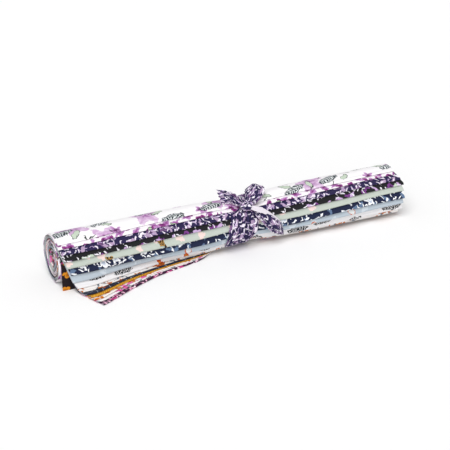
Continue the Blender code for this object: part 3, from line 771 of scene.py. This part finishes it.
def add_piece(name, mesh, print_name, thickness):
    """A sheet's object, printed on its right side, with the thickness of its cloth."""
    mesh.materials.append(cottons[print_name])
    mesh.materials.append(wrong_side)
    piece = put(name, mesh)
    wall = piece.modifiers.new("cloth thickness", "SOLIDIFY")
    wall.thickness = thickness * MM
    wall.offset = 0.0
    wall.use_even_offset = False
    wall.material_offset = 1
    graph = bpy.context.evaluated_depsgraph_get()
    graph.update()
    solid = bpy.data.meshes.new_from_object(piece.evaluated_get(graph))
    piece.modifiers.clear()
    piece.data = solid
    solid.shade_smooth()
    solid.set_sharp_from_angle(angle=math.radians(SHARP_DEG))
    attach(piece, "root")
    return piece


for n in range(1, QUARTERS + 1):
    print_name = PRINTS[n - 1][0]
    piece = add_piece(f"fat_quarter_{n:02d}", fold_quarter(n), print_name, CLOTH)
    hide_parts(f"quarter_{n:02d}", *(("roll",) if n == 1 else ()))

# %% [markdown]
# The tie is one strip of the third print, cut with pinking shears, so its edges are small teeth. It
# goes round the bundle, gathers into the knot in front, and its ends stand free. The band is a grid
# bent round the roll. Its gathers are ridges that run along the strip and draw together at the
# knot. A grid keeps the strip's own lengths for the print, which a sculpted lump wouldn't.

# %% The tie's band
STRIP = 50.0              # how wide the strip was cut
PINK, TOOTH = 4.4, 1.9    # the pinked teeth: how far apart and how deep
TIE_CLOTH = 0.32          # one sheet stands for the strip and the threads of its raw edges
BAND_CLEAR = 0.9          # between the band and the outline under it
BAND = (                  # degrees above the front, middle, half width, gather depth
    (-270, 22.0, 12.5, 1.6),
    (-225, 20.0, 13.5, 1.7),
    (-180, 18.0, 14.0, 1.7),
    (-135, 17.0, 13.5, 1.6),
    (-90, 14.0, 12.5, 0.5),
    (-66, 7.5, 13.0, 0.7),
    (-45, 2.5, 16.0, 1.2),
    (-25, 4.0, 18.0, 2.6),
    (-8, 7.3, 20.0, 3.9),
    (10, 8.8, 20.4, 4.8),
    (28, 11.7, 19.4, 4.8),
    (43, 12.8, 18.4, 4.2),
    (53, 15.5, 12.5, 2.8),
    (62, 18.0, 8.0, 1.9),
    (76, 20.5, 10.0, 1.7),
    (90, 22.0, 12.5, 1.6),
)
BAND_ROWS, BAND_COLUMNS = 180, 56
GATHERS = 2.9             # ridges in half the strip's width
GATHER_SWAY, GATHER_LEAN, GATHER_UNEVEN = 0.55, 0.3, 0.28     # how far from even they run
AT_EDGE = 0.999           # from here on a grid's column is the cut edge
EDGE_FLAT = 8             # the gathers keep their depth until close to the cut edges
UNDER_BAND = 0.2          # the band's middle lies this far above the table


def smooth_rows(rows, count):
    """A table's rows, read between along a smooth curve."""
    rows = np.array(rows, dtype=float)
    at = np.linspace(0.0, len(rows) - 1.0, count)
    low = np.minimum(at.astype(int), len(rows) - 2)
    part = (at - low)[:, None]
    slope = np.gradient(rows, axis=0)
    near = (1 + 2 * part) * (1 - part) ** 2 * rows[low] + part * (1 - part) ** 2 * slope[low]
    far = part ** 2 * (3 - 2 * part) * rows[low + 1] + part ** 2 * (part - 1) * slope[low + 1]
    return near + far


def teeth(length):
    """How far a pinked edge stands out, at a length along it."""
    return TOOTH * np.abs((length / PINK) % 1.0 * 2.0 - 1.0)


def round_roll(x, degrees, height):
    """A point over the bundle: along it, degrees above the front, height over its outline."""
    radius = radius_at(x) + height
    angle = np.radians(degrees)
    return np.stack((x, -radius * np.cos(angle), radius * np.sin(angle)), axis=-1)


def band_points():
    """The band's grid of points, and its flat lengths."""
    table = smooth_rows(BAND, BAND_ROWS)
    degrees, middle, half, deep = (table[:, k:k + 1] for k in range(4))
    across = np.linspace(-1.0, 1.0, BAND_COLUMNS)[None, :]
    length = np.radians(degrees + 270.0) * RADIUS * np.ones_like(across)
    sway = GATHER_SWAY * np.sin(np.radians(degrees) * 1.3 + 2.2 * across)
    sway = sway + GATHER_LEAN * across * np.sin(degrees / 23.0)
    ridge = np.abs(np.cos(math.pi * (GATHERS * across + sway)))
    uneven = 1.0 - GATHER_UNEVEN + GATHER_UNEVEN * np.sin(4.7 * across + degrees / 31.0)
    edge = 1.0 - np.abs(across) ** EDGE_FLAT
    height = BAND_CLEAR + deep * ridge * uneven * edge
    wide = half + (np.abs(across) > AT_EDGE) * (teeth(length) - TOOTH)
    x = middle + across * wide
    points = round_roll(x, degrees, height)
    points[..., 2] = np.maximum(points[..., 2], -FLAT_Z + UNDER_BAND + 0.1 * ridge)
    flat = np.stack(np.broadcast_arrays(length, STRIP / 2 * (1.0 + across)), axis=-1)
    return points, flat


tie_bm = bmesh.new()
grid_sheet(tie_bm, *band_points())
bmesh.ops.remove_doubles(tie_bm, verts=tie_bm.verts, dist=0.02 * MM)
print("band:", len(tie_bm.faces), "faces")

# %% [markdown]
# The two ends of the strip leave the knot and stand a little off the roll, stiff with their own
# folds. One end lies to the left, its folded part puffs up behind the knot like an ear, and the
# other end falls to the right, partly turned over so that its paler wrong side shows. Each is a
# grid along its own middle line, with waves across it, a cup for the ear and the turned edge.

# %% The tie's free ends
FREE_ENDS = (             # along the roll, degrees above the front, height, half width, waves, tilt
    dict(rows=((17.0, 58.0, 4.2, 3.5, 0.8, 0.0), (10.0, 68.0, 6.0, 5.2, 1.5, 25.0),
               (3.0, 80.0, 7.9, 7.0, 1.9, 45.0), (-4.0, 86.0, 8.2, 8.2, 1.7, 50.0),
               (-11.5, 90.0, 8.4, 8.8, 1.2, 50.0)),
         waves=1.7, cup=0.8, slant=3.0, begin=60.0),
    dict(rows=((19.0, 60.0, 5.2, 4.0, 0.8, 0.0), (24.0, 67.0, 7.8, 8.0, 1.4, 0.0),
               (30.0, 76.0, 10.8, 11.5, 1.6, 0.0), (35.5, 86.0, 12.3, 12.5, 1.4, 0.0),
               (39.5, 97.0, 11.6, 9.5, 1.0, 0.0), (41.0, 105.0, 9.5, 5.0, 0.6, 0.0)),
         waves=1.2, cup=3.4, begin=120.0),
    dict(rows=((19.5, 56.0, 4.6, 4.0, 0.6, 0.0), (27.0, 48.0, 6.5, 8.5, 1.5, 0.0),
               (35.0, 35.0, 6.9, 11.0, 1.9, 0.0), (43.0, 17.0, 5.8, 11.0, 2.0, 0.0),
               (51.0, -4.0, 4.2, 8.5, 1.7, 0.0), (61.0, -28.0, 3.2, 1.8, 0.7, 0.0)),
         waves=1.6, cup=1.0, over=1.0, begin=200.0),
)
END_ROWS, END_COLUMNS = 40, 33
TURN_RADIUS = 0.9         # of the turned-over edge
TURNED_SHARE, TURNED_PAST = 0.8, 1.25    # it ends this far along, and starts past the middle
PINKED_FROM = 0.25        # the teeth start clear of the knot
CREASE_HIGH, CREASE_COUNT = 0.7, 2.6     # creases that run out of the knot
END_CLEAR = 1.2           # an end keeps this far off the outline


def free_end_points(rows, waves, cup, begin, over=0.0, slant=0.0):
    """One free end's grid of points along its middle line, and its flat lengths."""
    table = smooth_rows(rows, END_ROWS)
    middle = round_roll(table[:, 0], table[:, 1], table[:, 2])
    along = np.gradient(middle, axis=0)
    length = np.concatenate(((0.0,), np.cumsum(np.linalg.norm(np.diff(middle, axis=0), axis=1))))
    along /= np.linalg.norm(along, axis=1, keepdims=True)
    outward = round_roll(table[:, 0], table[:, 1], table[:, 2] + 1.0) - middle
    side = np.cross(along, outward)
    side /= np.linalg.norm(side, axis=1, keepdims=True)
    lift = np.cross(side, along)
    tilt = np.radians(table[:, 5:6])
    side, lift = np.cos(tilt) * side + np.sin(tilt) * lift, np.cos(tilt) * lift - np.sin(tilt) * side
    across = np.linspace(-1.0, 1.0, END_COLUMNS)[None, :] * np.ones((END_ROWS, 1))
    share = (length / length[-1])[:, None]
    pinked = (np.abs(across) > AT_EDGE) * (teeth(length)[:, None] - TOOTH)
    half = table[:, 3:4] + pinked * (share > PINKED_FROM)
    fold = -1.0 + over * TURNED_PAST * held(1.0 - share / TURNED_SHARE)
    past = np.maximum(fold - across, 0.0) * half
    bend = held(past / (math.pi * TURN_RADIUS))
    lying = np.maximum(past - math.pi * TURN_RADIUS, 0.0)
    sideways = np.maximum(across, fold) * half - TURN_RADIUS * np.sin(math.pi * bend) + lying
    rise = TURN_RADIUS * (1.0 - np.cos(math.pi * bend))
    wave = table[:, 4:5] * np.cos(math.pi * waves * np.maximum(across, fold) + 1.4 * share)
    crease = CREASE_HIGH * (1.0 - share) * np.abs(np.cos(CREASE_COUNT * math.pi * across))
    height = wave + crease + cup * (1.0 - across ** 2) - cup * 0.5 + rise
    tip = (share > AT_EDGE) * (teeth(across * half) - TOOTH / 2) + slant * across * share ** 2
    points = (middle[:, None] + sideways[..., None] * side[:, None]
              + height[..., None] * lift[:, None] + tip[..., None] * along[:, None])
    near_roll = np.hypot(points[..., 1], points[..., 2])
    lowest = radius_at(points[..., 0]) + END_CLEAR
    points[..., 1:] *= (np.maximum(near_roll, lowest) / near_roll)[..., None]
    lengths = np.broadcast_arrays(begin + length[:, None], STRIP / 2 * (1.0 + across))
    flat = np.stack(lengths, axis=-1)
    return points, flat


for end in FREE_ENDS:
    grid_sheet(tie_bm, *free_end_points(**end))
print("band and ends:", len(tie_bm.faces), "faces")

# %% [markdown]
# The knot is the strip passed once over itself and pulled tight: a small firm pillow with creases
# that run over it. A round ball of small triangles, pressed flat and creased, gives that form, and
# it hides where the band and the free ends come together. Then the whole tie becomes one piece.

# %% The tie's knot
KNOT_AT = (17.5, 57.0, 5.8)              # along the roll, degrees above the front, height
KNOT_SIZE = (8.0, 6.6, 4.4)              # half sizes: along the roll, round it, out from it
KNOT_CREASES, KNOT_CREASE = 3.0, 0.85
KNOT_LEAN, KNOT_BEND = 0.35, 0.3         # the creases lean and bend as they cross the knot
KNOT_SWELL, KNOT_RISE = 0.16, 0.12       # how far a crease's ridges stand out
KNOT_FLAT_AT, KNOT_FLAT = (260.0, 30.0), (14.0, 12.0)    # which part of the strip it shows


def add_knot(bm):
    """The knot's creased pillow."""
    uv = bm.loops.layers.uv["cloth"]
    ball = bmesh.ops.create_icosphere(bm, subdivisions=5, radius=1.0)["verts"]
    centre = Vector(round_roll(*(np.array(v) for v in KNOT_AT)))
    outward = Vector((0.0, centre.y, centre.z)).normalized()
    round_way = outward.cross(Vector((1.0, 0.0, 0.0)))
    for vert in ball:
        x, y, z = vert.co
        lean = x + KNOT_LEAN * y
        wave = KNOT_CREASES * lean + KNOT_BEND * math.sin(3.0 * y)
        crease = KNOT_CREASE * abs(math.cos(math.pi * wave))
        swell = 1.0 + crease * KNOT_SWELL
        flat = Vector((KNOT_FLAT_AT[0] + KNOT_FLAT[0] * math.atan2(y, z),
                       KNOT_FLAT_AT[1] + KNOT_FLAT[1] * x))
        for loop in vert.link_loops:
            loop[uv].uv = flat * MM
        place = centre + Vector((x * KNOT_SIZE[0] * swell, 0.0, 0.0))
        place += round_way * y * KNOT_SIZE[1] * swell
        place += outward * z * KNOT_SIZE[2] * swell * (1.0 + KNOT_RISE * crease)
        vert.co = (place + Vector((0.0, AXIS_Y, FLAT_Z))) * MM


add_knot(tie_bm)
tie_mesh = bpy.data.meshes.new("tie_strip")
tie_bm.to_mesh(tie_mesh)
tie_bm.free()
tie = add_piece("tie_strip", tie_mesh, "navy_violet", TIE_CLOTH)
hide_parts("tie")
print("tie triangles:", sum(len(p.vertices) - 2 for p in tie.data.polygons))

# %% [markdown]
# The bundle lies on plain white paper in even studio light. A large soft lamp above and to the left
# of the camera brightens the top of every fold and leaves a fine shadow under it. A weaker and
# wider one, low in front, fills the underside, and a bright surround keeps the dark prints
# readable. A small hard lamp would give black shadows instead.

# %% Light and floor
FLOOR_HALF = 4.0          # metres
SURROUND = 0.5
PAPER = {"Roughness": 0.95, "Specular IOR Level": 0.1}


def soft_lamp(name, strength, width, stand):
    """A far lamp, width degrees across, that shines from its stand to the bundle."""
    lamp = bpy.data.lights.new(name, "SUN")
    lamp.energy = strength
    lamp.angle = math.radians(width)
    placed = put(name, lamp)
    placed.location = stand
    placed.rotation_mode = "QUATERNION"
    placed.rotation_quaternion = placed.location.to_track_quat("Z", "Y")
    print(name, "lamp:", strength, "from", stand)


floor_bm = bmesh.new()
bmesh.ops.create_grid(floor_bm, x_segments=1, y_segments=1, size=FLOOR_HALF)
floor_mesh = bpy.data.meshes.new("floor")
floor_bm.to_mesh(floor_mesh)
floor_bm.free()
floor_mesh.materials.append(matt_material("matt_white_paper", "#F7F7F7", PAPER)[0])
floor = put("floor", floor_mesh)
bpy.context.scene.view_settings.view_transform = "Standard"
world = bpy.data.worlds.new("studio")
bpy.context.scene.world = world
world.use_nodes = True
surround = world.node_tree.nodes["Background"].inputs
surround["Color"].default_value = (1.0, 1.0, 1.0, 1.0)
surround["Strength"].default_value = SURROUND
soft_lamp("key", 2.0, 42.0, (-0.45, -0.8, 1.55))
soft_lamp("fill", 0.55, 60.0, (-0.5, -1.3, 0.25))
